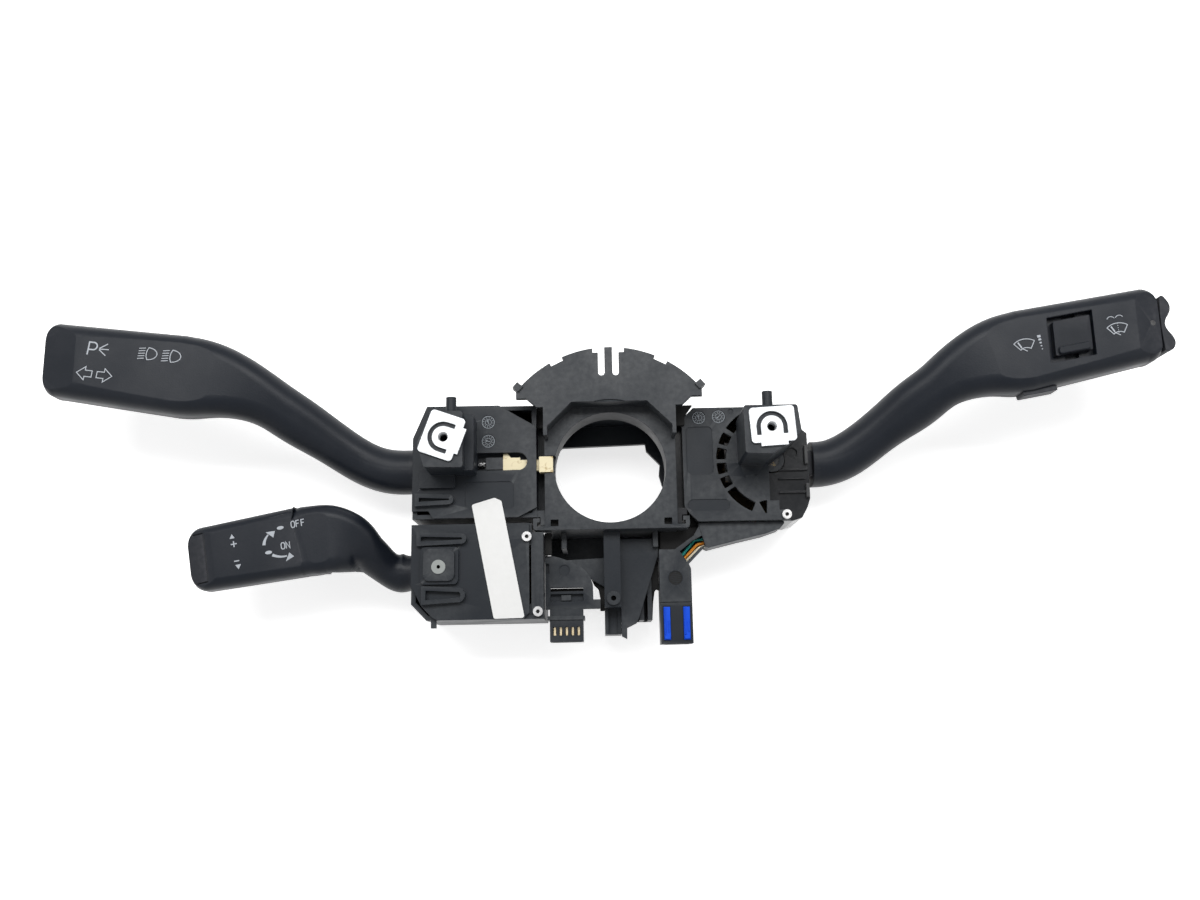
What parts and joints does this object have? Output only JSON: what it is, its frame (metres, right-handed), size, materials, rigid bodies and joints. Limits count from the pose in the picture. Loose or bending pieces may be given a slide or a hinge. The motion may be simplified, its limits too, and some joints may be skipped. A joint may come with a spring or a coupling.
{
  "type": "combination stalk switch",
  "caption": "Steering column switch carrier with an indicator, a cruise and a wiper stalk, column bore, nut plates, cancel pawl and harness connectors",
  "frame": {"origin": "centre of the column bore on the front face of the ring plate", "axes": "+X to the driver's right, +Y up the column switch, +Z along the column towards the driver; it lies on its back"},
  "size_m": [0.4936, 0.1503, 0.062],
  "materials": {
    "black_plastic": "moulded, fine grain",
    "stalk_plastic": "soft-touch moulded, fine grain",
    "gloss_black": "smooth moulded",
    "button_black": "moulded, fine grain",
    "grey_plastic": "plain moulded, greased",
    "cradle_plastic": "plain moulded, greased",
    "beige_plastic": "plain moulded, greased",
    "galvanised": "galvanised sheet",
    "steel": "ground",
    "spring_steel": "drawn wire",
    "contact_brass": "stamped",
    "board": "laminate",
    "blue_plastic": "plain moulded",
    "white_label": "printed film",
    "teal_sleeve": "extruded",
    "orange_sleeve": "extruded",
    "cream_sleeve": "extruded"
  },
  "bodies": {
    "base": {"column_carrier": "black_plastic", "upper_guard_plate": "black_plastic", "lower_bracket": "black_plastic", "indicator_housing": "black_plastic", "indicator_cover": "black_plastic", "indicator_nut_plate": "galvanised", "indicator_detent_track": "cradle_plastic", "indicator_board": "board", "pawl_spring": "spring_steel", "cruise_housing": "black_plastic", "cruise_cover": "black_plastic", "cruise_bush": "grey_plastic", "cruise_detent_track": "cradle_plastic", "cruise_board": "board", "wiper_housing": "gloss_black", "wiper_cover": "black_plastic", "wiper_nut_plate": "galvanised", "wiper_detent_track": "cradle_plastic", "wiper_board": "board", "wire_duct": "black_plastic", "harness_connector": "black_plastic", "connector_locks": "blue_plastic", "teal_wire": "teal_sleeve", "orange_wire": "orange_sleeve", "cream_wire": "cream_sleeve", "slip_ring_plate": "black_plastic", "pin_connector": "black_plastic", "pin_contacts": "contact_brass", "seal_strip": "white_label", "cover_screws": "steel"},
    "indicator_cradle_body": {"indicator_cradle": "cradle_plastic", "indicator_contact": "contact_brass", "indicator_tilt_pin": "steel"},
    "indicator_stalk_body": {"indicator_stalk": "stalk_plastic", "indicator_stalk_back": "stalk_plastic", "indicator_plunger": "grey_plastic", "indicator_plunger_spring": "spring_steel"},
    "cancel_pawl_body": {"cancel_pawl": "beige_plastic", "pawl_slider": "black_plastic"},
    "cruise_cradle_body": {"cruise_cradle": "cradle_plastic", "cruise_contact": "contact_brass", "cruise_tilt_pin": "steel"},
    "cruise_stalk_body": {"cruise_stalk": "stalk_plastic", "cruise_stalk_back": "stalk_plastic", "cruise_plunger": "grey_plastic", "cruise_plunger_spring": "spring_steel"},
    "set_button_body": {"set_button": "button_black"},
    "wiper_cradle_body": {"wiper_cradle": "cradle_plastic", "wiper_contact": "contact_brass", "wiper_tilt_pin": "steel"},
    "wiper_stalk_body": {"wiper_stalk": "stalk_plastic", "wiper_stalk_back": "stalk_plastic", "trip_rocker_pin": "steel", "wiper_plunger": "grey_plastic", "wiper_plunger_spring": "spring_steel"},
    "interval_slider_body": {"interval_slider": "button_black"},
    "trip_rocker_body": {"trip_rocker": "button_black"},
    "reset_button_body": {"reset_button": "button_black"}
  },
  "joints": [
    {"name": "indicator_turn", "type": "hinge", "parent": "base", "child": "indicator_cradle_body", "pos_m": [-0.072, 0.0034, -0.022], "axis": [0, 0, 1], "range_deg": [-8, 8]},
    {"name": "main_beam_tilt", "type": "hinge", "parent": "indicator_cradle_body", "child": "indicator_stalk_body", "pos_m": [-0.072, 0.0034, -0.022], "axis": [0, 1, 0], "range_deg": [-5, 6], "stiffness_Nm_per_rad": 12},
    {"name": "cancel_pawl_slide", "type": "slide", "parent": "base", "child": "cancel_pawl_body", "axis": [1, 0, 0], "range_m": [0, 0.0035]},
    {"name": "cruise_speed_turn", "type": "hinge", "parent": "base", "child": "cruise_cradle_body", "pos_m": [-0.074, -0.0426, -0.022], "axis": [0, 0, 1], "range_deg": [-5, 5]},
    {"name": "cruise_select_tilt", "type": "hinge", "parent": "cruise_cradle_body", "child": "cruise_stalk_body", "pos_m": [-0.074, -0.0426, -0.022], "axis": [0, 1, 0], "range_deg": [-4, 6]},
    {"name": "set_button_push", "type": "slide", "parent": "cruise_stalk_body", "child": "set_button_body", "axis": [0.986, 0.1668, 0], "range_m": [0, 0.0015], "stiffness_N_per_m": 400},
    {"name": "wiper_speed_turn", "type": "hinge", "parent": "base", "child": "wiper_cradle_body", "pos_m": [0.072, 0.0034, -0.022], "axis": [0, 0, 1], "range_deg": [-5, 12]},
    {"name": "wash_tilt", "type": "hinge", "parent": "wiper_cradle_body", "child": "wiper_stalk_body", "pos_m": [0.072, 0.0034, -0.022], "axis": [0, -1, 0], "range_deg": [-6, 6], "stiffness_Nm_per_rad": 12},
    {"name": "interval_slide", "type": "slide", "parent": "wiper_stalk_body", "child": "interval_slider_body", "axis": [0, 1, 0], "range_m": [-0.002, 0.0015]},
    {"name": "trip_rocker_tilt", "type": "hinge", "parent": "wiper_stalk_body", "child": "trip_rocker_body", "pos_m": [0.23804, 0.0571, 0.004], "axis": [0, 0, 1], "range_deg": [-3, 3], "stiffness_Nm_per_rad": 0.5},
    {"name": "reset_push", "type": "slide", "parent": "wiper_stalk_body", "child": "reset_button_body", "axis": [-0.1719, 0.9851, 0], "range_m": [0, 0.001], "stiffness_N_per_m": 400}
  ]
}
